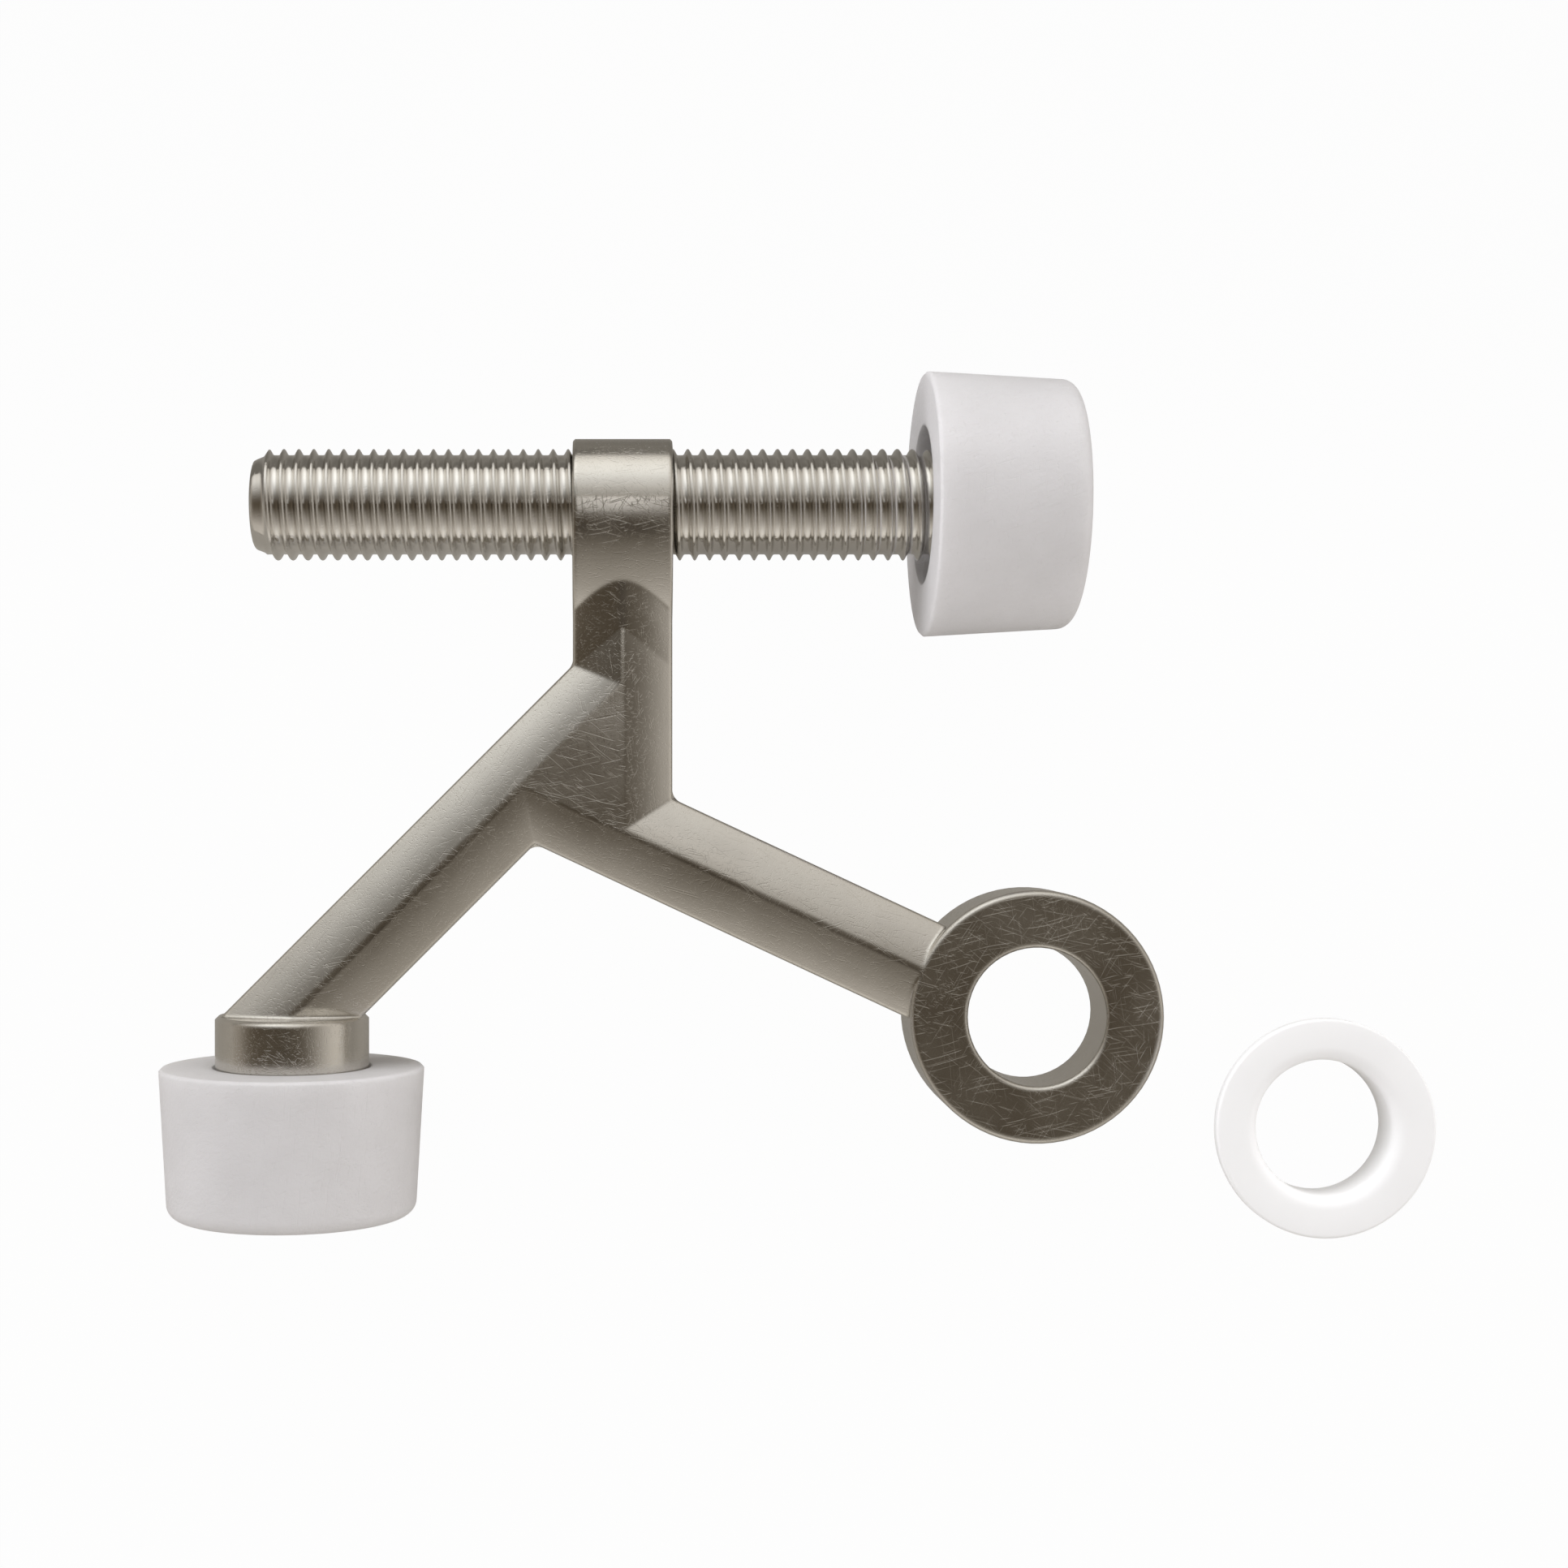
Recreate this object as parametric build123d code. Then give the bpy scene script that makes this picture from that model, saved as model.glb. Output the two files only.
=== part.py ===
from build123d import *
import os
from math import cos, radians, sin, sqrt, tan

# Hinge pin door stop: a ridged Y-shaped casting with an eye for the hinge pin,
# a rubber foot, a threaded screw with a rubber tip, and a loose bushing for the eye.
# Lengths are in millimetres.
# The origin is the middle of the eye's bore and +Z runs up the hinge pin.
# +X runs along the screw towards its rubber tip, and +Y from the eye towards the screw.

# Eye that drops over the hinge pin
eye_outer_diameter = 17.7
eye_bore_diameter = 9.7
eye_thickness = 5.88
eye_edge_chamfer = 0.22
eye_bore_chamfer = 0.18

# Section of the three bars: a flat side, then a convex facet up to a ridge
bar_width = 7.0
bar_depth = 5.88
bar_side_depth = 3.46
bar_facet_radius = 9.75
bar_edge_radius = 0.28
ridge_cut_depth = 0.025

# Where the centre lines of the bars run, seen from above
post_x = -28.95
leg_joint_y = 23.2
arm_joint_y = 13.03
leg_angle = 45.0
arm_angle = 25.0
arm_end_from_eye = 6.6
inner_corner_radius = 1.0

# Adjusting screw, drawn at its thread's outer diameter
screw_y = 36.1
thread_diameter = 7.87
thread_clearance = 0.05
screw_left_x = -55.05
screw_point_diameter = 6.9
screw_point_length = 1.25
screw_point_chamfer = 0.5
screw_bumper_back_x = -7.64

# Hub that carries the screw, at the top of the post
hub_wall = 0.645
hub_edge_chamfer = 0.15
hub_bore_chamfer = 0.2

# Neck below the hub, an arc tangent to the front and back of the hub
neck_radius = 13.4
neck_end_depth = 3.0

# Collar that carries the neck down onto the ridged post
collar_top_drop = 3.0
collar_top_depth = 7.54
collar_top_crown_radius = 6.0
collar_bottom_drop = 13.0
collar_bottom_depth = 4.63
collar_bottom_crown_radius = 8.9
collar_edge_radius = 0.25
collar_side_inset = 0.02

# Foot disc under the leg, and the head its bumper snaps over
foot_x = -52.4
foot_top_y = -0.12
foot_diameter = 10.85
foot_show = 3.63
foot_edge_chamfer = 0.25
foot_leg_overlap = 0.1

# Rubber bumper, the same part on the foot and on the screw
bumper_length = 10.5
bumper_back_diameter = 18.7
bumper_front_diameter = 17.5
bumper_back_chamfer = 0.2
bumper_front_radius = 1.0
bumper_mouth_diameter = 11.2
bumper_mouth_depth = 1.6
bumper_lip_diameter = 9.6
bumper_lip_length = 1.1
bumper_pocket_diameter = 10.9
bumper_pocket_length = 3.3
bumper_fit = 0.05

# Bushing for the eye, drawn out towards the viewer and set aside
bushing_fit = 0.05
bushing_wall = 0.25
bushing_flange_diameter = 14.8
bushing_flange_thickness = 0.9
bushing_length = 3.4
bushing_mouth_chamfer = 0.8
bushing_rim_chamfer = 0.15
bushing_aside_x = 18.28
bushing_aside_y = -6.89
bushing_front_z = 9.0


def heading(angle):
    """Unit vector in the plan, turned by angle from +X."""
    return Vector(cos(radians(angle)), sin(radians(angle)), 0)


def bore_radius():
    """Radius of the hub's hole for the screw."""
    return thread_diameter / 2 + thread_clearance


def hub_radius():
    """Outer radius of the hub around its hole."""
    return bore_radius() + hub_wall


def bar_section():
    """Section across a bar: flat sides, four convex facets and two ridges."""
    half_width = bar_width / 2
    half_side = bar_side_depth / 2
    half_depth = bar_depth / 2
    outline = [
        Line((half_width, -half_side), (half_width, half_side)),
        RadiusArc((half_width, half_side), (0, half_depth), -bar_facet_radius),
        RadiusArc((0, half_depth), (-half_width, half_side), -bar_facet_radius),
        Line((-half_width, half_side), (-half_width, -half_side)),
        RadiusArc((-half_width, -half_side), (0, -half_depth), -bar_facet_radius),
        RadiusArc((0, -half_depth), (half_width, -half_side), -bar_facet_radius),
    ]
    section = make_face(outline)
    edges = section.vertices().filter_by(lambda corner: abs(corner.X) > half_width - 0.001)
    return fillet(edges, bar_edge_radius)


def bar(start, run, length):
    """Straight ridged bar from start along run."""
    across = run.cross(Vector(0, 0, 1))
    return extrude(Plane(start, x_dir=across, z_dir=run) * bar_section(), length)


def joint_points():
    """Plan points where the centre lines of the three bars cross."""
    post_leg = Vector(post_x, leg_joint_y, 0)
    post_arm = Vector(post_x, arm_joint_y, 0)
    leg_run = heading(180 + leg_angle)
    arm_run = heading(180 - arm_angle)
    gap = post_arm - post_leg
    turn = leg_run.X * arm_run.Y - leg_run.Y * arm_run.X
    leg_arm = post_leg + leg_run * ((gap.X * arm_run.Y - gap.Y * arm_run.X) / turn)
    return post_leg, post_arm, leg_arm


def post():
    """Bar from the arm up into the neck."""
    post_leg, post_arm, leg_arm = joint_points()
    return bar(post_arm, Vector(0, 1, 0), screw_y - collar_top_drop - hub_radius() - arm_joint_y)


def leg():
    """Bar slanting down to the foot, cut off level just under the foot's top."""
    post_leg, post_arm, leg_arm = joint_points()
    run = heading(180 + leg_angle)
    full = bar(post_leg, run, (leg_joint_y - foot_top_y) / sin(radians(leg_angle)) + bar_width)
    size = 4 * bar_width
    top = foot_top_y - foot_leg_overlap
    return full - Pos(foot_x, top - size / 2, 0) * Box(size, size, size)


def arm():
    """Bar from the leg across the post to the ring of the eye."""
    post_leg, post_arm, leg_arm = joint_points()
    run = heading(-arm_angle)
    length = -(leg_arm.X * run.X + leg_arm.Y * run.Y) - arm_end_from_eye
    return bar(leg_arm, run, length)


def web():
    """Triangle between the three ridges."""
    corners = Polyline(*joint_points(), close=True)
    return Pos(0, 0, -bar_depth / 2) * extrude(make_face(corners), bar_depth)


def inner_corner(joint, first_run, second_run):
    """Rounds the corner between two bars, the second one anticlockwise from the first."""
    opening = first_run.get_angle(second_run)
    half_width = bar_width / 2
    corner = joint + (first_run + second_run) * (half_width / sin(radians(opening)))
    reach = inner_corner_radius / tan(radians(opening / 2))
    first, second = corner + first_run * reach, corner + second_run * reach
    outline = [
        RadiusArc(first, second, inner_corner_radius),
        Line(second, joint),
        Line(joint, first),
    ]
    height = bar_side_depth - 2 * bar_edge_radius
    return Pos(0, 0, -height / 2) * extrude(make_face(outline), height)


def inner_corners():
    """Rounded corners of the post with the leg and the arm, and of the leg with the arm."""
    post_leg, post_arm, leg_arm = joint_points()
    post_run = Vector(0, 1, 0)
    leg_run = heading(180 + leg_angle)
    arm_run = heading(-arm_angle)
    solid = inner_corner(post_leg, post_run, leg_run)
    solid += inner_corner(post_arm, arm_run, post_run)
    return solid + inner_corner(leg_arm, leg_run, arm_run)


def bars():
    """The three bars and the web, with one flat cut across the web and along the ridges."""
    solid = post() + leg() + arm() + web() + inner_corners()
    slab = Box(4 * abs(foot_x), 4 * screw_y, bar_depth - 2 * ridge_cut_depth)
    return solid & slab


def neck_profile():
    """Side view of the hub and neck, drawn in the plane across the screw."""
    radius = hub_radius()
    low = neck_end_depth / 2
    drop = sqrt(neck_radius ** 2 - (neck_radius - radius + low) ** 2)
    outline = [
        ThreePointArc((0, -radius), (radius, 0), (0, radius)),
        RadiusArc((0, radius), (-drop, low), -neck_radius),
        Line((-drop, low), (-drop, -low)),
        RadiusArc((-drop, -low), (0, -radius), -neck_radius),
    ]
    return make_face(outline)


def hub():
    """Hub and neck in one piece, with softened side edges."""
    side = Plane((post_x - bar_width / 2, screw_y, 0), x_dir=(0, 1, 0), z_dir=(1, 0, 0))
    solid = extrude(side * neck_profile(), bar_width)
    rims = solid.edges().filter_by(lambda edge: abs(abs(edge.center().X - post_x) - bar_width / 2) < 0.001)
    rims = rims.filter_by(GeomType.CIRCLE)
    return chamfer(rims, hub_edge_chamfer)


def collar_section(drop, depth, crown_radius):
    """Section of the collar: flat sides, a hair inside the post's, under a crowned front and back."""
    half_width = bar_width / 2 - collar_side_inset
    crown = crown_radius - sqrt(crown_radius ** 2 - half_width ** 2)
    half_side = depth / 2 - crown
    outline = [
        Line((half_width, -half_side), (half_width, half_side)),
        RadiusArc((half_width, half_side), (-half_width, half_side), -crown_radius),
        Line((-half_width, half_side), (-half_width, -half_side)),
        RadiusArc((-half_width, -half_side), (half_width, -half_side), -crown_radius),
    ]
    section = make_face(outline)
    section = fillet(section.vertices(), collar_edge_radius)
    return Plane((post_x, screw_y - drop, 0), x_dir=(1, 0, 0), z_dir=(0, -1, 0)) * section


def collar():
    """Crowned collar that thins from the neck down to the post."""
    top = collar_section(collar_top_drop, collar_top_depth, collar_top_crown_radius)
    bottom = collar_section(collar_bottom_drop, collar_bottom_depth, collar_bottom_crown_radius)
    return loft([top, bottom], ruled=True)


def eye():
    """Round ring at the end of the arm, before its bore is cut."""
    ring = Cylinder(eye_outer_diameter / 2, eye_thickness)
    return chamfer(ring.edges().filter_by(GeomType.CIRCLE), eye_edge_chamfer)


def turned(profile_points, at, x_dir, z_dir):
    """Solid of revolution from (radius, height) points, its axis along z_dir."""
    face = make_face(Polyline(*[(r, h) for r, h in profile_points], close=True))
    solid = revolve(Plane.XZ * face, Axis.Z)
    return Plane(at, x_dir=x_dir, z_dir=z_dir) * solid


def foot():
    """Foot disc with the groove and head that its bumper snaps over."""
    disc = foot_diameter / 2
    groove = bumper_lip_diameter / 2 - bumper_fit
    head = bumper_pocket_diameter / 2 - bumper_fit
    shoulder = foot_show + bumper_mouth_depth
    head_top = shoulder + bumper_lip_length + bumper_fit
    head_end = shoulder + bumper_lip_length + bumper_pocket_length - bumper_fit
    points = [(0, 0), (disc, 0), (disc, -shoulder), (groove, -shoulder)]
    points += [(groove, -head_top), (head, -head_top), (head, -head_end), (0, -head_end)]
    solid = turned(points, (foot_x, foot_top_y, 0), (1, 0, 0), (0, 1, 0))
    rim = solid.edges().filter_by(GeomType.CIRCLE).group_by(Axis.Y)[-1]
    return chamfer(rim, foot_edge_chamfer)


def frame_casting():
    """Hub, post, leg, arm, web, eye and foot, cast in one piece."""
    solid = bars() + collar() + hub() + eye() + foot()
    solid -= Cylinder(eye_bore_diameter / 2, eye_thickness + 1)
    bore = solid.edges().filter_by(GeomType.CIRCLE)
    bore = bore.filter_by(lambda edge: abs(edge.radius - eye_bore_diameter / 2) < 0.001)
    solid = chamfer(bore, eye_bore_chamfer)
    solid -= Pos(post_x, screw_y, 0) * Rot(0, 90, 0) * Cylinder(bore_radius(), bar_width + 2)
    mouths = solid.edges().filter_by(GeomType.CIRCLE)
    mouths = mouths.filter_by(lambda edge: abs(edge.radius - bore_radius()) < 0.001)
    return chamfer(mouths, hub_bore_chamfer)


def bumper_solid():
    """Rubber bumper, its back face at height zero and its front face above."""
    back = bumper_back_diameter / 2
    front = bumper_front_diameter / 2
    mouth = bumper_mouth_diameter / 2
    lip = bumper_lip_diameter / 2
    pocket = bumper_pocket_diameter / 2
    lip_end = bumper_mouth_depth + bumper_lip_length
    pocket_end = lip_end + bumper_pocket_length
    points = [(mouth, 0), (back, 0), (front, bumper_length), (0, bumper_length), (0, pocket_end)]
    points += [(pocket, pocket_end), (pocket, lip_end), (lip, lip_end)]
    points += [(lip, bumper_mouth_depth), (mouth, bumper_mouth_depth)]
    solid = turned(points, (0, 0, 0), (1, 0, 0), (0, 0, 1))
    rims = solid.edges().filter_by(GeomType.CIRCLE)
    solid = fillet(rims.group_by(Axis.Z)[-1], bumper_front_radius)
    rims = solid.edges().filter_by(GeomType.CIRCLE).group_by(Axis.Z)[0].sort_by(SortBy.RADIUS)
    return chamfer(rims[-1], bumper_back_chamfer)


def foot_bumper():
    """Bumper under the foot, its back face up."""
    top = foot_top_y - foot_show
    return Plane((foot_x, top, 0), x_dir=(1, 0, 0), z_dir=(0, -1, 0)) * bumper_solid()


def screw_bumper():
    """Bumper on the end of the screw, its back face to the hub."""
    at = (screw_bumper_back_x, screw_y, 0)
    return Plane(at, x_dir=(0, 1, 0), z_dir=(1, 0, 0)) * bumper_solid()


def adjusting_screw():
    """Rod with a rounded point at one end and the bumper's head at the other."""
    rod = thread_diameter / 2
    point = screw_point_diameter / 2
    head = bumper_pocket_diameter / 2 - bumper_fit
    lip_end = bumper_mouth_depth + bumper_lip_length
    head_start = screw_bumper_back_x + lip_end + bumper_fit - screw_left_x
    head_end = head_start + bumper_pocket_length - 2 * bumper_fit
    points = [(0, 0), (point, 0), (rod, screw_point_length), (rod, head_start)]
    points += [(head, head_start), (head, head_end), (0, head_end)]
    solid = turned(points, (screw_left_x, screw_y, 0), (0, 1, 0), (1, 0, 0))
    end = solid.edges().filter_by(GeomType.CIRCLE).group_by(Axis.X)[0]
    return chamfer(end, screw_point_chamfer)


def eye_bushing():
    """Flanged sleeve for the eye, its flange towards the viewer."""
    flange = bushing_flange_diameter / 2
    sleeve = eye_bore_diameter / 2 - bushing_fit
    bore = sleeve - bushing_wall
    under = -bushing_flange_thickness
    points = [(bore, 0), (flange, 0), (flange, under), (sleeve, under)]
    points += [(sleeve, -bushing_length), (bore, -bushing_length)]
    at = (bushing_aside_x, bushing_aside_y, bushing_front_z)
    solid = turned(points, at, (1, 0, 0), (0, 0, 1))
    front = solid.edges().filter_by(GeomType.CIRCLE).group_by(Axis.Z)[-1].sort_by(SortBy.RADIUS)
    solid = chamfer(front[-1], bushing_rim_chamfer)
    front = solid.edges().filter_by(GeomType.CIRCLE).group_by(Axis.Z)[-1].sort_by(SortBy.RADIUS)
    return chamfer(front[0], bushing_mouth_chamfer)


parts = {
    "frame_casting": frame_casting(),
    "adjusting_screw": adjusting_screw(),
    "screw_bumper": screw_bumper(),
    "foot_bumper": foot_bumper(),
    "eye_bushing": eye_bushing(),
}

os.makedirs("parts", exist_ok=True)
for name, solid in parts.items():
    export_step(solid, f"parts/{name}.step")
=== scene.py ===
from math import cos, pi, radians, sin

import bmesh
import bpy
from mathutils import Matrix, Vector


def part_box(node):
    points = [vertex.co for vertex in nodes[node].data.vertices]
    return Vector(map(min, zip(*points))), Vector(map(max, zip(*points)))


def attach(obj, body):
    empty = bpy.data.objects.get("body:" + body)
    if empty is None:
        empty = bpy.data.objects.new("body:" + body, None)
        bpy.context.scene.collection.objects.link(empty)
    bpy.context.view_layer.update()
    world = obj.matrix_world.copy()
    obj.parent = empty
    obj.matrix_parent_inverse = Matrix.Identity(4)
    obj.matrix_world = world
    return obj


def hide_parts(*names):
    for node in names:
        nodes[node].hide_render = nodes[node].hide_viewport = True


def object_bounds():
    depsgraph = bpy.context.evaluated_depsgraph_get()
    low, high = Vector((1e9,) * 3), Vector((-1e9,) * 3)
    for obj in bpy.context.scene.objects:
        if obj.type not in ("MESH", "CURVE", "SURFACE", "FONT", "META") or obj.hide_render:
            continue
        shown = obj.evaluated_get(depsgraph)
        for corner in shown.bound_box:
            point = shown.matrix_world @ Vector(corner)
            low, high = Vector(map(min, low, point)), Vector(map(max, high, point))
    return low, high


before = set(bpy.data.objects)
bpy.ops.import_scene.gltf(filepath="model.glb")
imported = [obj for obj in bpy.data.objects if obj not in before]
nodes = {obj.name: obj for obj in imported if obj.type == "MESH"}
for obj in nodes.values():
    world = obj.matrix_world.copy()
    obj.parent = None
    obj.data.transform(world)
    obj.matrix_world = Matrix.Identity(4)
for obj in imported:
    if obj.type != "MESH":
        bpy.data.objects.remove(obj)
cad_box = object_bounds()

MM = 0.001

# Camera, from the photograph: it looks straight down -Z at the middle plane of the part
photo_size_px = 1932
scale_px_per_mm = 17.35
eye_centre_px = (1269.3, 1248.5)
vanishing_point_px = (757.0, 972.0)
camera_distance_px = 2840.0
sensor_mm = 36.0
clip_start, clip_end = 0.01, 20

# Screw, in millimetres
thread_pitch = 1.0583
thread_crest_radius = 3.935
thread_root_radius = 3.5
thread_turn_steps = 64
# Half of the thread's profile: distance along the screw from the crest, radius
thread_half_profile = [
    (0.0, thread_crest_radius),
    (0.04, thread_crest_radius - 0.012),
    (0.085, thread_crest_radius - 0.06),
    (0.262, thread_root_radius + 0.06),
    (0.31, thread_root_radius + 0.014),
    (0.38, thread_root_radius),
]
# Rounded point of the screw: distance from its end, largest radius there
point_profile = [
    (0.0, 2.85),
    (0.07, 3.115),
    (0.22, 3.2),
    (0.782, 3.42),
    (1.15, thread_crest_radius),
]
# Head inside the rubber bumper: how deep it starts, and how far the rod runs into it
head_inset = 2.75
rod_in_head = 0.5
head_chamfer = 0.3
head_steps = 64

# Bushing, in millimetres
bushing_bore_radius = 4.55
bushing_sleeve_radius = 4.8
bushing_flange_radius = 7.39
bushing_flange_thickness = 0.9
bushing_mouth_rounding = 0.95
bushing_rim_rounding = 0.22
bushing_fillet = 0.15
bushing_end_rounding = 0.12
bushing_steps = 128
small_arc_steps = 3

# Meshes: points nearer than this are one, in millimetres, and folds sharper than this
# stay sharp, in degrees
merge_distance = 0.0005
sharp_angle = 34

# Softened edges, in shading only, in millimetres
metal_edge_softness = 0.4
rubber_edge_softness = 0.3
plastic_edge_softness = 0.1
edge_samples = 8
# How alike the rounded and the flat normal are where wear begins and where it is full
wear_begins, wear_full = 1.0, 0.93

# Part of a noise's values that is used
noise_low, noise_high = 0.35, 0.65
# Streaks: tilt in radians, and what moves each set to its own part of the noise
streak_tilt = (0.02, 0.015)
streak_offset = (7, 3, 1)
scratch_fade = 0.1

# Nickel plate, sizes and depths in millimetres. Each set of scratches has a turn in
# degrees, a length, a width and how rare they are.
nickel_warp_size, nickel_warp_reach = 6.0, 1.0
nickel_crinkle_size = 0.3
nickel_cloud_size = 4.5
nickel_cloud_share = 0.8
scratch_roughness = 0.05
worn_smoothness = 0.06
fine_scratches = [
    (20, 1.8, 0.12, 0.70),
    (83, 2.4, 0.14, 0.68),
]
satin_look = {
    "dark": (0.59, 0.565, 0.52),
    "light": (0.64, 0.615, 0.57),
    "rough": (0.15, 0.21),
    "scratches": [
        (12, 4.0, 0.08, 0.70),
        (57, 3.2, 0.07, 0.71),
        (98, 5.0, 0.08, 0.70),
        (141, 3.0, 0.07, 0.71),
        (166, 6.0, 0.09, 0.71),
    ],
    "scratch_depth": 0.0035,
    "crinkle_depth": 0.0022,
}
bright_look = {
    "dark": (0.64, 0.62, 0.585),
    "light": (0.70, 0.68, 0.645),
    "rough": (0.05, 0.10),
    "scratches": fine_scratches,
    "scratch_depth": 0.002,
    "crinkle_depth": 0.0012,
}

# Rubber, sizes and depths in millimetres
rubber_dark, rubber_light = (0.635, 0.625, 0.632), (0.675, 0.665, 0.674)
rubber_rough = (0.42, 0.52)
rubber_specular = 0.4
rubber_translucence, rubber_light_reach = 0.35, 3.0
rubber_warp_size, rubber_warp_reach = 2.0, 0.4
rubber_cloud_size = 6.0
rubber_grain_size, rubber_grain_depth = 0.3, 0.03
rubber_grain_detail, rubber_grain_roughness = 3.0, 0.6
rubber_wrinkle_turn, rubber_wrinkle_length, rubber_wrinkle_width = 25, 1.1, 0.3
rubber_wrinkle_depth, rubber_wrinkle_detail = 0.042, 2.0
rubber_scuff_depth = 0.012

# Plastic, sizes and depths in millimetres
plastic_dark, plastic_light = (0.93, 0.935, 0.945), (0.95, 0.955, 0.965)
plastic_rough = (0.4, 0.48)
plastic_specular = 0.3
plastic_translucence, plastic_light_reach = 0.15, 0.6
plastic_warp_size, plastic_warp_reach = 3.0, 0.5
plastic_cloud_size, plastic_ripple_depth = 4.0, 0.006

# Floor, just under the rubber bumpers, and how much of it shows as plain white
floor_gap = 0.02
floor_half_size = 3.0
floor_white_to_camera = 0.975
floor_white_in_metal = 0.05
# Painted shade that the metal mirrors in the floor: its own colour near the eye, darker
# beyond the screw, and where one turns into the other along Y, in metres
mirrored_shade_near = (0.42, 0.40, 0.36)
mirrored_shade_far = (0.16, 0.15, 0.13)
mirrored_shade_turn = (0.030, 0.052)

# Studio around the part: colour straight above, then what low angles add to it, with
# the heights, as cosines, where they begin to and where they add all of it
sky_above = (0.085, 0.067, 0.046)
sky_low = (0.61, 0.585, 0.545)
sky_low_begins, sky_low_full = 0.97, 0.25
sky_least = 0.02
# Soft lights in it: direction round from +X, angle from straight above, tightness, colour
sky_lights = [
    (110, 58, 7, (1.10, 1.145, 1.17)),
    (70, 24, 40, (0.50, 0.49, 0.47)),
    (58, 48, 14, (0.36, 0.36, 0.36)),
    (0, 62, 12, (0.16, 0.16, 0.16)),
    (90, 8, 350, (0.55, 0.53, 0.50)),
    (-78, 36, 22, (0.17, 0.165, 0.155)),
    (-90, 75, 12, (0.30, 0.30, 0.30)),
]
# Dark screens in it, given the same way
sky_screens = [
    (180, 70, 5, (0.36, 0.35, 0.33)),
    (-90, 12, 250, (0.05, 0.04, 0.025)),
]

# Broad lamps that the metal doesn't mirror: direction round from +X, angle from above, watts
fill_distance = 0.5
fill_size = 0.4
fill_colour = (0.95, 0.955, 1.0)
fills = [
    (0, 0, 0.34),
    (90, 68, 0.85),
    (0, 75, 1.05),
    (180, 80, 1.5),
    (-90, 72, 0.32),
]
# Small lamps for the back of the screw's bumper: places and what they point at, in
# millimetres, and watts
near_fill_size = 0.03
near_fill_target = (-7.6, 36.0, 0.0)
near_fills = [
    ((-40.0, 66.0, 12.0), 0.0055),
    ((-45.0, 6.0, 14.0), 0.005),
]

# Small bright card over the hub: middle and size in millimetres, brightness
card_middle = (-29.0, 39.5, 80.0)
card_size = 12.0
card_brightness = 0.9

# Sockets of a Mix node that mixes colours
MIX_AMOUNT, MIX_FIRST, MIX_SECOND, MIX_RESULT = 0, 6, 7, 2


# Small helpers for node trees


def empty_tree(owner):
    """Cleared node tree of a material or world, and the input that shows on it."""
    owner.use_nodes = True
    tree = owner.node_tree
    tree.nodes.clear()
    kind = "World" if isinstance(owner, bpy.types.World) else "Material"
    output = tree.nodes.new(f"ShaderNodeOutput{kind}")
    return tree, output.inputs["Surface"]


def new_material(name):
    """New material with its node tree and a principled shader."""
    material = bpy.data.materials.new(name)
    tree, surface = empty_tree(material)
    shader = tree.nodes.new("ShaderNodeBsdfPrincipled")
    tree.links.new(shader.outputs["BSDF"], surface)
    return material, tree, shader


def node(tree, kind, **inputs):
    """New node with some of its inputs set by name."""
    made = tree.nodes.new(kind)
    for name, value in inputs.items():
        made.inputs[name.replace("_", " ")].default_value = value
    return made


def math(tree, operation, first, second):
    """Math node on two values, each one a socket or a number."""
    made = tree.nodes.new("ShaderNodeMath")
    made.operation = operation
    for socket, value in zip(made.inputs, (first, second)):
        if isinstance(value, (int, float)):
            socket.default_value = value
        else:
            tree.links.new(value, socket)
    return made.outputs[0]


def vector_math(tree, operation, first, second):
    """Vector math node on two values, each one a socket or three numbers."""
    made = tree.nodes.new("ShaderNodeVectorMath")
    made.operation = operation
    for socket, value in zip(made.inputs, (first, second)):
        if isinstance(value, (tuple, Vector)):
            socket.default_value = value
        else:
            tree.links.new(value, socket)
    return made.outputs["Value" if operation == "DOT_PRODUCT" else "Vector"]


def scaled(tree, colour, amount):
    """Colour times the amount on a socket."""
    made = tree.nodes.new("ShaderNodeVectorMath")
    made.operation = "SCALE"
    made.inputs[0].default_value = colour
    tree.links.new(amount, made.inputs["Scale"])
    return made.outputs[0]


def spread(tree, source, from_low, from_high, low, high):
    """Maps a value from one range onto another, and holds it there."""
    ramp = node(
        tree,
        "ShaderNodeMapRange",
        From_Min=from_low,
        From_Max=from_high,
        To_Min=low,
        To_Max=high,
    )
    tree.links.new(source, ramp.inputs["Value"])
    return ramp.outputs[0]


def object_place(tree):
    """Place on the object, in metres."""
    return tree.nodes.new("ShaderNodeTexCoord").outputs["Object"]


def warped_place(tree, size, reach):
    """Place on the object, pushed about by a slow noise of that size and reach in mm."""
    place = object_place(tree)
    slow = node(tree, "ShaderNodeTexNoise", Scale=1 / (size * MM), Detail=1.0)
    tree.links.new(place, slow.inputs["Vector"])
    push = vector_math(tree, "MULTIPLY", slow.outputs["Color"], (reach * MM,) * 3)
    return vector_math(tree, "ADD", place, push)


def noise(tree, place, size, detail=2.0, roughness=0.55):
    """Noise value with features of a size in millimetres."""
    made = node(
        tree, "ShaderNodeTexNoise", Scale=1 / (size * MM), Detail=detail, Roughness=roughness
    )
    tree.links.new(place, made.inputs["Vector"])
    return made.outputs[0]


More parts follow.
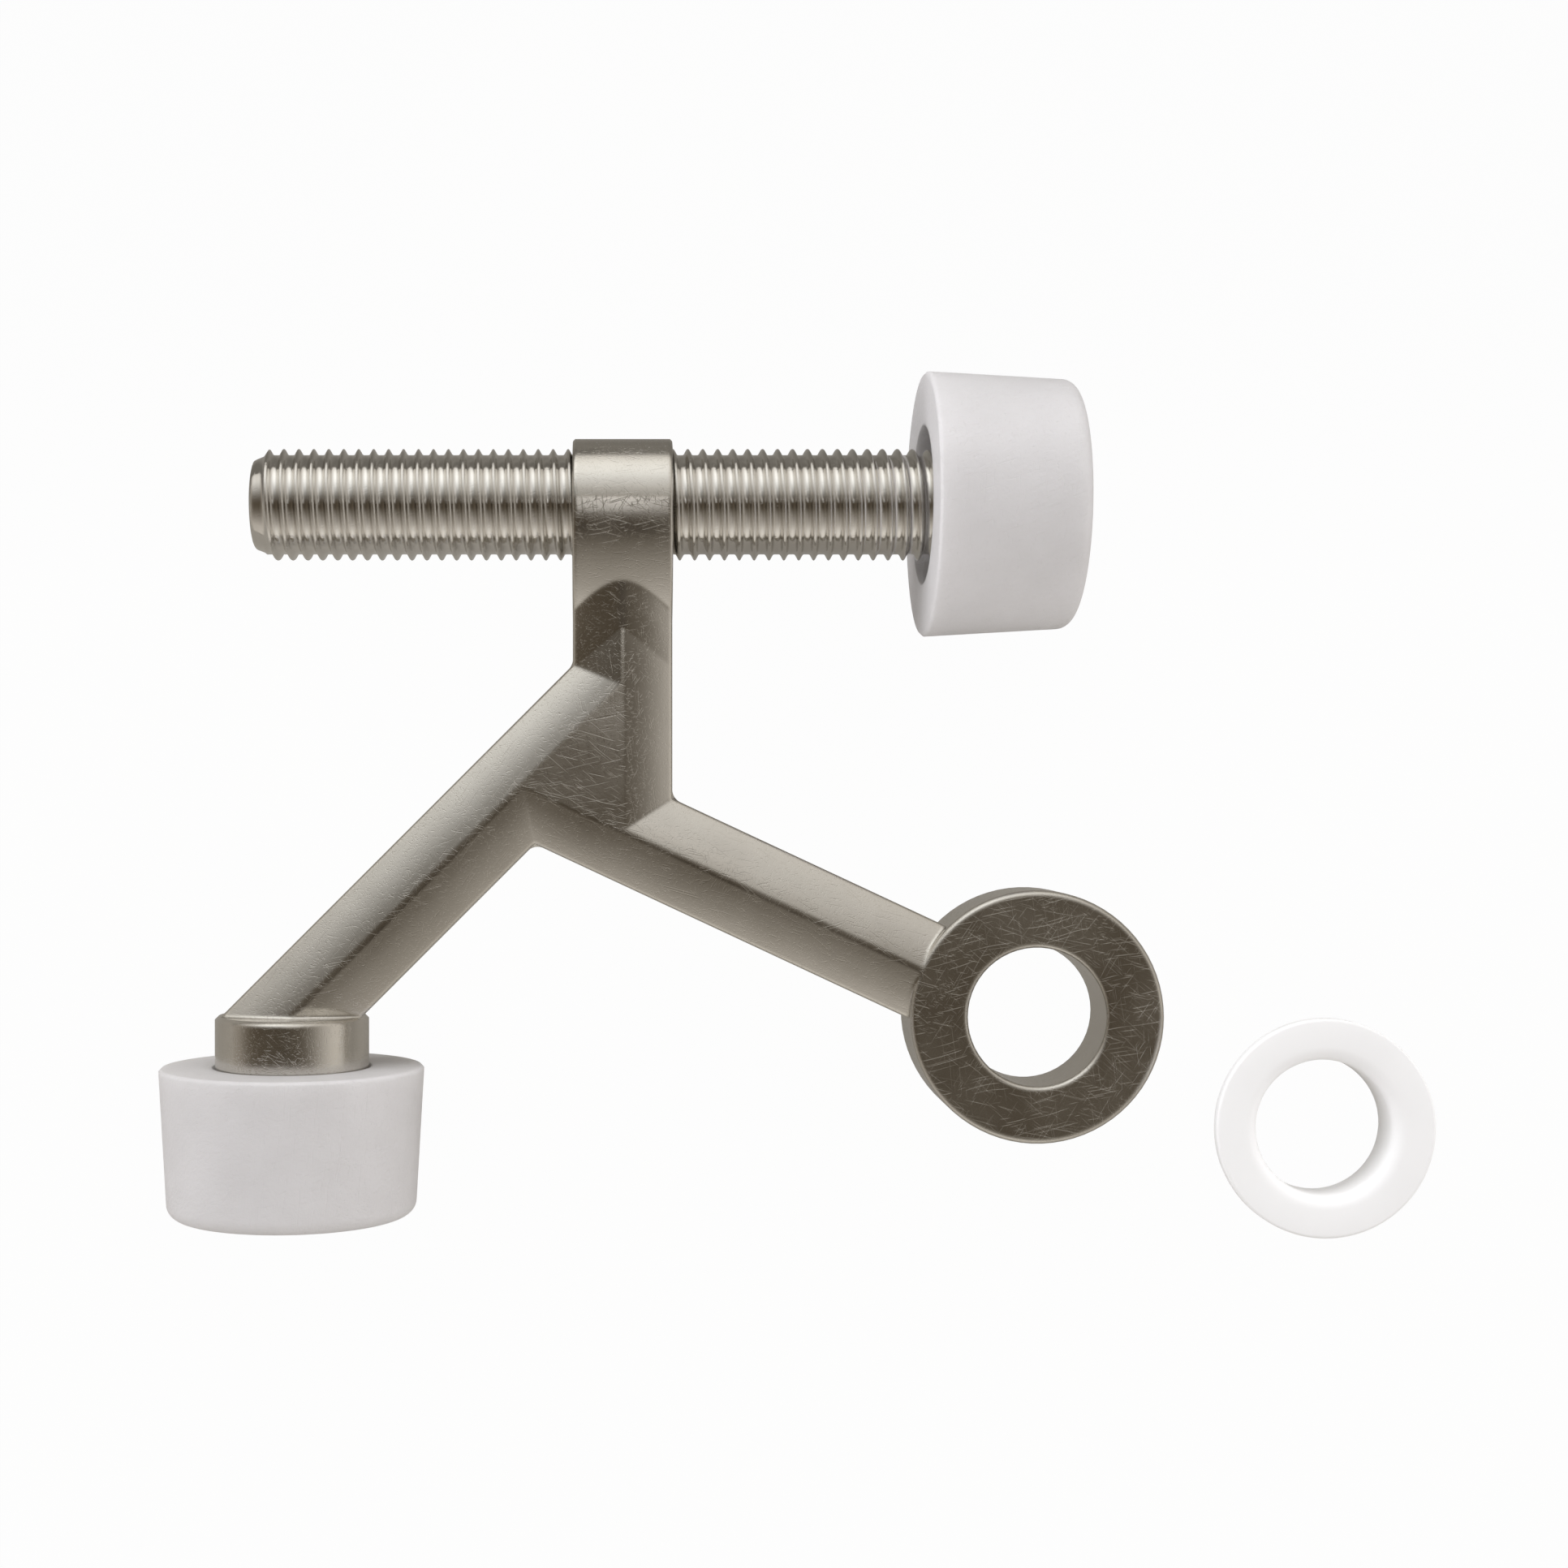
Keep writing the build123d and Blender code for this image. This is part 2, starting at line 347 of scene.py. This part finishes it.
def streaks(tree, place, turn, length, width, detail=0.0):
    """Noise value drawn out to a length and width in millimetres, turned about Z."""
    mapping = node(
        tree,
        "ShaderNodeMapping",
        Location=[turn * step * MM for step in streak_offset],
        Rotation=(*streak_tilt, radians(turn)),
        Scale=(length * MM, width * MM, width * MM),
    )
    mapping.vector_type = "TEXTURE"
    tree.links.new(place, mapping.inputs["Vector"])
    made = node(tree, "ShaderNodeTexNoise", Scale=1.0, Detail=detail, Roughness=0.5)
    tree.links.new(mapping.outputs["Vector"], made.inputs["Vector"])
    return made.outputs[0]


def scratch_lines(tree, place, sets):
    """Sum of sparse thin lines, 1 in a scratch and 0 beside it."""
    total = 0.0
    for turn, length, width, rare in sets:
        lines = streaks(tree, place, turn, length, width)
        lines = spread(tree, lines, rare, rare + scratch_fade, 0, 1)
        total = math(tree, "ADD", lines, total)
    return total


def blend_colours(tree, amount, dark, light):
    """Colour between two colours by an amount from 0 to 1."""
    mix = tree.nodes.new("ShaderNodeMix")
    mix.data_type = "RGBA"
    mix.inputs[MIX_FIRST].default_value = (*dark, 1)
    mix.inputs[MIX_SECOND].default_value = (*light, 1)
    tree.links.new(amount, mix.inputs[MIX_AMOUNT])
    return mix.outputs[MIX_RESULT]


def soft_edges(tree, radius):
    """Normal with rounded edges, radius in millimetres."""
    bevel = node(tree, "ShaderNodeBevel", Radius=radius * MM)
    bevel.samples = edge_samples
    return bevel.outputs["Normal"]


def edge_wear(tree, normal):
    """1 where the rounded normal has left the flat one, 0 away from edges."""
    flat = tree.nodes.new("ShaderNodeNewGeometry").outputs["Normal"]
    alike = vector_math(tree, "DOT_PRODUCT", flat, normal)
    return spread(tree, alike, wear_begins, wear_full, 0, 1)


def bumped(tree, normal, height, depth):
    """Normal with a bump of a depth in millimetres on it."""
    bump = node(tree, "ShaderNodeBump", Strength=1.0, Distance=depth * MM)
    tree.links.new(height, bump.inputs["Height"])
    tree.links.new(normal, bump.inputs["Normal"])
    return bump.outputs["Normal"]


def set_translucence(shader, weight, reach):
    """Light that enters the surface, and its reach in millimetres."""
    shader.inputs["Subsurface Weight"].default_value = weight
    shader.inputs["Subsurface Radius"].default_value = (reach * MM,) * 3


# Materials


def nickel(name, dark, light, rough, scratches, scratch_depth, crinkle_depth):
    """Nickel plate with crossing scratches, a fine crinkle and brighter, smoother edges."""
    material, tree, shader = new_material(name)
    shader.inputs["Metallic"].default_value = 1.0
    place = warped_place(tree, nickel_warp_size, nickel_warp_reach)
    lines = scratch_lines(tree, place, scratches)
    crinkle = noise(tree, place, nickel_crinkle_size)
    cloud = noise(tree, place, nickel_cloud_size)
    normal = soft_edges(tree, metal_edge_softness)
    worn = edge_wear(tree, normal)
    drift = spread(tree, cloud, noise_low, noise_high, 0, nickel_cloud_share)
    drift = math(tree, "MAXIMUM", drift, worn)
    tree.links.new(blend_colours(tree, drift, dark, light), shader.inputs["Base Color"])
    roughness = spread(tree, cloud, noise_low, noise_high, *rough)
    scratched = math(tree, "MULTIPLY", lines, scratch_roughness)
    roughness = math(tree, "ADD", roughness, scratched)
    smoothed = math(tree, "MULTIPLY", worn, worn_smoothness)
    roughness = math(tree, "SUBTRACT", roughness, smoothed)
    tree.links.new(roughness, shader.inputs["Roughness"])
    normal = bumped(tree, normal, crinkle, crinkle_depth)
    normal = bumped(tree, normal, lines, -scratch_depth)
    tree.links.new(normal, shader.inputs["Normal"])
    return material


def rubber(name):
    """Matt white rubber with a fine moulded grain and faint scuffs."""
    material, tree, shader = new_material(name)
    shader.inputs["Specular IOR Level"].default_value = rubber_specular
    set_translucence(shader, rubber_translucence, rubber_light_reach)
    shader.inputs["Subsurface Scale"].default_value = 1.0
    place = warped_place(tree, rubber_warp_size, rubber_warp_reach)
    grain = noise(
        tree, place, rubber_grain_size, rubber_grain_detail, rubber_grain_roughness
    )
    cloud = noise(tree, place, rubber_cloud_size)
    wrinkles = streaks(
        tree,
        place,
        rubber_wrinkle_turn,
        rubber_wrinkle_length,
        rubber_wrinkle_width,
        rubber_wrinkle_detail,
    )
    scuffs = scratch_lines(tree, place, fine_scratches)
    drift = spread(tree, cloud, noise_low, noise_high, 0, 1)
    colour = blend_colours(tree, drift, rubber_dark, rubber_light)
    tree.links.new(colour, shader.inputs["Base Color"])
    tree.links.new(spread(tree, scuffs, 0, 1, *rubber_rough), shader.inputs["Roughness"])
    normal = soft_edges(tree, rubber_edge_softness)
    normal = bumped(tree, normal, grain, rubber_grain_depth)
    normal = bumped(tree, normal, wrinkles, rubber_wrinkle_depth)
    normal = bumped(tree, normal, scuffs, -rubber_scuff_depth)
    tree.links.new(normal, shader.inputs["Normal"])
    return material


def plastic(name):
    """Smooth white moulded plastic with a faint ripple."""
    material, tree, shader = new_material(name)
    shader.inputs["Specular IOR Level"].default_value = plastic_specular
    set_translucence(shader, plastic_translucence, plastic_light_reach)
    place = warped_place(tree, plastic_warp_size, plastic_warp_reach)
    cloud = noise(tree, place, plastic_cloud_size)
    drift = spread(tree, cloud, noise_low, noise_high, 0, 1)
    colour = blend_colours(tree, drift, plastic_dark, plastic_light)
    tree.links.new(colour, shader.inputs["Base Color"])
    roughness = spread(tree, cloud, noise_low, noise_high, *plastic_rough)
    tree.links.new(roughness, shader.inputs["Roughness"])
    normal = soft_edges(tree, plastic_edge_softness)
    normal = bumped(tree, normal, cloud, plastic_ripple_depth)
    tree.links.new(normal, shader.inputs["Normal"])
    return material


# Pieces that replace CAD nodes


def thread_profile():
    """(share of the pitch, radius) points over one pitch, from crest to crest."""
    half = [(d / thread_pitch, r) for d, r in thread_half_profile]
    return half + [(1 - share, r) for share, r in reversed(half[1:])]


def point_limit(inset):
    """Largest radius that the screw's rounded point allows, inset from its end."""
    for (a, low), (b, high) in zip(point_profile, point_profile[1:]):
        if inset <= b:
            return low + (high - low) * (inset - a) / (b - a)
    return thread_crest_radius


def mesh_object(name, points, faces):
    """Closed mesh object from points in millimetres, smooth except at sharp folds."""
    mesh = bpy.data.meshes.new(name)
    mesh.from_pydata([Vector(p) * MM for p in points], [], faces)
    shell = bmesh.new()
    shell.from_mesh(mesh)
    bmesh.ops.remove_doubles(shell, verts=shell.verts, dist=merge_distance * MM)
    bmesh.ops.holes_fill(shell, edges=shell.edges)
    bmesh.ops.recalc_face_normals(shell, faces=shell.faces)
    shell.to_mesh(mesh)
    shell.free()
    mesh.polygons.foreach_set("use_smooth", [True] * len(mesh.polygons))
    mesh.set_sharp_from_angle(angle=radians(sharp_angle))
    made = bpy.data.objects.new(name, mesh)
    bpy.context.scene.collection.objects.link(made)
    return made


def threaded_rod(left, right, axis_y):
    """Points and faces of the threaded rod between two places on X."""
    profile = thread_profile()
    steps, count = thread_turn_steps, len(profile)
    turns = int((right - left) / thread_pitch) + 3
    points, faces = [], []
    for s in range(steps):
        angle = 2 * pi * s / steps
        for k in range(turns * count):
            share, radius = profile[k % count]
            x = left + thread_pitch * (k // count + share + s / steps - 1)
            if x >= right:
                x, radius = right, thread_root_radius
            x = max(x, left)
            radius = min(radius, point_limit(x - left))
            points.append((x, axis_y + radius * cos(angle), radius * sin(angle)))
    row = turns * count
    for s in range(steps):
        after, shift = (s + 1, 0) if s + 1 < steps else (0, count)
        for k in range(row - 1 - count):
            a, b = s * row + k, s * row + k + 1
            c, d = after * row + k + shift + 1, after * row + k + shift
            faces.append((a, b, c, d))
    return points, faces


def lathe(profile, steps, place):
    """Points and faces of a closed (radius, height) profile turned once round."""
    points = [
        place(r * cos(2 * pi * s / steps), r * sin(2 * pi * s / steps), h)
        for s in range(steps)
        for r, h in profile
    ]
    count = len(profile)
    faces = []
    for s in range(steps):
        t = (s + 1) % steps
        for k in range(count):
            j = (k + 1) % count
            faces.append((s * count + k, t * count + k, t * count + j, s * count + j))
    return points, faces


def arc(centre, radius, start, end, steps=6):
    """Points on an arc, angles in degrees."""
    turned = [radians(start + (end - start) * i / steps) for i in range(steps + 1)]
    return [(centre[0] + radius * cos(a), centre[1] + radius * sin(a)) for a in turned]


def box_mm(name):
    """Lowest and highest corner of a CAD node, in millimetres."""
    low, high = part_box(name)
    return low / MM, high / MM


def make_screw():
    """Threaded rod with the flat head that the rubber bumper holds."""
    low, high = box_mm("adjusting_screw")
    axis_y = (low.y + high.y) / 2
    radius, rim = (high.z - low.z) / 2, head_chamfer
    back = box_mm("screw_bumper")[0].x + head_inset
    points, faces = threaded_rod(low.x, back + rod_in_head, axis_y)
    profile = [
        (0.0, back),
        (radius - rim, back),
        (radius, back + rim),
        (radius, high.x - rim),
        (radius - rim, high.x),
        (0.0, high.x),
    ]
    head, head_faces = lathe(profile, head_steps, lambda u, v, h: (h, axis_y + u, v))
    first = len(points)
    points += head
    faces += [tuple(first + i for i in face) for face in head_faces]
    screw = mesh_object("screw_thread", points, faces)
    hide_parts("adjusting_screw")
    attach(screw, "screw")
    return screw


def make_bushing():
    """Flanged sleeve with a bell mouth and soft rims."""
    low, high = box_mm("eye_bushing")
    centre = (low + high) / 2
    top, end = high.z, low.z
    under = top - bushing_flange_thickness
    bore, sleeve = bushing_bore_radius, bushing_sleeve_radius
    flange = bushing_flange_radius
    mouth, rim = bushing_mouth_rounding, bushing_rim_rounding
    fillet, tip = bushing_fillet, bushing_end_rounding
    profile = arc((bore + mouth, top - mouth), mouth, 180, 90)
    profile += arc((flange - rim, top - rim), rim, 90, 0)
    profile += arc((flange - rim, under + rim), rim, 0, -90)
    profile += arc((sleeve + fillet, under - fillet), fillet, 90, 180)
    profile += arc((sleeve - tip, end + tip), tip, 0, -90, small_arc_steps)
    profile += arc((bore + tip, end + tip), tip, -90, -180, small_arc_steps)
    points, faces = lathe(
        profile, bushing_steps, lambda u, v, h: (centre.x + u, centre.y - v, h)
    )
    bushing = mesh_object("bushing", points, faces)
    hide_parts("eye_bushing")
    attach(bushing, "frame")
    return bushing


def dress():
    """The pieces above, and materials on every piece."""
    satin = nickel("satin_nickel", **satin_look)
    bright = nickel("bright_nickel", **bright_look)
    white = rubber("white_rubber")
    for name, material in (
        ("frame_casting", satin),
        ("screw_bumper", white),
        ("foot_bumper", white),
    ):
        nodes[name].data.materials.clear()
        nodes[name].data.materials.append(material)
    make_screw().data.materials.append(bright)
    make_bushing().data.materials.append(plastic("white_plastic"))


# Floor, light and camera


def make_floor():
    """Pale floor that shows as white, with the part's shadow on it and painted shade in its
    own colour, which the metal mirrors.
    """
    half = floor_half_size
    level = cad_box[0].z - floor_gap * MM
    corners = [(-half, -half), (half, -half), (half, half), (-half, half)]
    mesh = bpy.data.meshes.new("floor")
    mesh.from_pydata([(x, y, level) for x, y in corners], [], [(0, 1, 2, 3)])
    floor = bpy.data.objects.new("floor", mesh)
    bpy.context.scene.collection.objects.link(floor)
    material = bpy.data.materials.new("pale_floor")
    tree, surface = empty_tree(material)
    # Painted shade: the floor's own colour, seen in the metal and in bounce light, darkens
    # beyond the screw
    along = vector_math(tree, "DOT_PRODUCT", object_place(tree), (0.0, 1.0, 0.0))
    along = spread(tree, along, *mirrored_shade_turn, 0, 1)
    matt = tree.nodes.new("ShaderNodeBsdfDiffuse")
    tree.links.new(
        blend_colours(tree, along, mirrored_shade_near, mirrored_shade_far), matt.inputs["Color"]
    )
    glow = node(tree, "ShaderNodeEmission", Color=(1, 1, 1, 1), Strength=1.0)
    path = tree.nodes.new("ShaderNodeLightPath").outputs
    seen = math(tree, "MULTIPLY", path["Is Camera Ray"], floor_white_to_camera)
    mirrored = math(tree, "MAXIMUM", path["Is Glossy Ray"], path["Is Transmission Ray"])
    mirrored = math(tree, "MULTIPLY", mirrored, floor_white_in_metal)
    mix = tree.nodes.new("ShaderNodeMixShader")
    tree.links.new(math(tree, "MAXIMUM", seen, mirrored), mix.inputs["Fac"])
    tree.links.new(matt.outputs[0], mix.inputs[1])
    tree.links.new(glow.outputs[0], mix.inputs[2])
    tree.links.new(mix.outputs[0], surface)
    mesh.materials.append(material)


def pointing(round_angle, down_angle):
    """Direction from an angle round from +X and an angle from straight above."""
    across = sin(radians(down_angle))
    x, y = cos(radians(round_angle)), sin(radians(round_angle))
    return Vector((across * x, across * y, cos(radians(down_angle))))


def sky_patch(tree, place, round_angle, down_angle, tightness, colour):
    """Soft round patch of colour in one direction of the sky."""
    direction = pointing(round_angle, down_angle)
    near = vector_math(tree, "DOT_PRODUCT", place, direction)
    near = math(tree, "MAXIMUM", near, 0.0)
    return scaled(tree, colour, math(tree, "POWER", near, float(tightness)))


def make_world():
    """Soft studio: dim straight above, brighter low down, brightest towards +Y."""
    world = bpy.data.worlds.new("studio")
    bpy.context.scene.world = world
    tree, surface = empty_tree(world)
    place = tree.nodes.new("ShaderNodeTexCoord").outputs["Generated"]
    height = vector_math(tree, "DOT_PRODUCT", place, (0.0, 0.0, 1.0))
    lowness = spread(tree, height, sky_low_begins, sky_low_full, 0, 1)
    colour = vector_math(tree, "ADD", scaled(tree, sky_low, lowness), sky_above)
    for patch in sky_lights:
        colour = vector_math(tree, "ADD", colour, sky_patch(tree, place, *patch))
    for patch in sky_screens:
        colour = vector_math(tree, "SUBTRACT", colour, sky_patch(tree, place, *patch))
    colour = vector_math(tree, "MAXIMUM", colour, (sky_least,) * 3)
    sky = tree.nodes.new("ShaderNodeBackground")
    tree.links.new(colour, sky.inputs["Color"])
    plain = node(tree, "ShaderNodeBackground", Color=(1, 1, 1, 1), Strength=1.0)
    path = tree.nodes.new("ShaderNodeLightPath").outputs
    mix = tree.nodes.new("ShaderNodeMixShader")
    tree.links.new(path["Is Camera Ray"], mix.inputs["Fac"])
    tree.links.new(sky.outputs[0], mix.inputs[1])
    tree.links.new(plain.outputs[0], mix.inputs[2])
    tree.links.new(mix.outputs[0], surface)


def new_lamp(name, size, power):
    """Square lamp of a size in metres, pointing straight down."""
    data = bpy.data.lights.new(name, "AREA")
    data.size = size
    data.energy = power
    lamp = bpy.data.objects.new(name, data)
    bpy.context.scene.collection.objects.link(lamp)
    return lamp


def fill_lamp(place, target, size, power):
    """Lamp that lights matt pieces and isn't seen in metal."""
    lamp = new_lamp("fill", size, power)
    lamp.data.color = fill_colour
    lamp.location = place
    lamp.rotation_euler = (place - target).to_track_quat("Z", "Y").to_euler()
    lamp.visible_glossy = False
    return lamp


def make_fills():
    """Broad lamps round the part, and two small ones near the screw's bumper."""
    middle = (cad_box[0] + cad_box[1]) / 2
    for round_angle, down_angle, power in fills:
        away = pointing(round_angle, down_angle)
        fill_lamp(middle + away * fill_distance, middle, fill_size, power)
    target = Vector(near_fill_target) * MM
    for place, power in near_fills:
        lamp = fill_lamp(Vector(place) * MM, target, near_fill_size, power)
        lamp.visible_camera = False


def make_card():
    """Card that the crest of the hub mirrors as its second bright band."""
    size = card_size * MM
    card = new_lamp("card", size, card_brightness * pi * size**2)
    card.location = Vector(card_middle) * MM
    card.visible_camera = False


def make_camera():
    """Camera at the photograph's place, with the shift that its framing needs."""
    data = bpy.data.cameras.new("camera")
    data.sensor_width = sensor_mm
    data.lens = sensor_mm * camera_distance_px / photo_size_px
    middle = photo_size_px / 2
    data.shift_x = (middle - vanishing_point_px[0]) / photo_size_px
    data.shift_y = (vanishing_point_px[1] - middle) / photo_size_px
    data.clip_start, data.clip_end = clip_start, clip_end
    camera = bpy.data.objects.new("camera", data)
    bpy.context.scene.collection.objects.link(camera)
    camera.location = (
        (vanishing_point_px[0] - eye_centre_px[0]) / scale_px_per_mm * MM,
        (eye_centre_px[1] - vanishing_point_px[1]) / scale_px_per_mm * MM,
        camera_distance_px / scale_px_per_mm * MM,
    )
    bpy.context.scene.camera = camera


dress()
make_floor()
make_world()
make_fills()
make_card()
make_camera()
bpy.context.scene.view_settings.view_transform = "Standard"
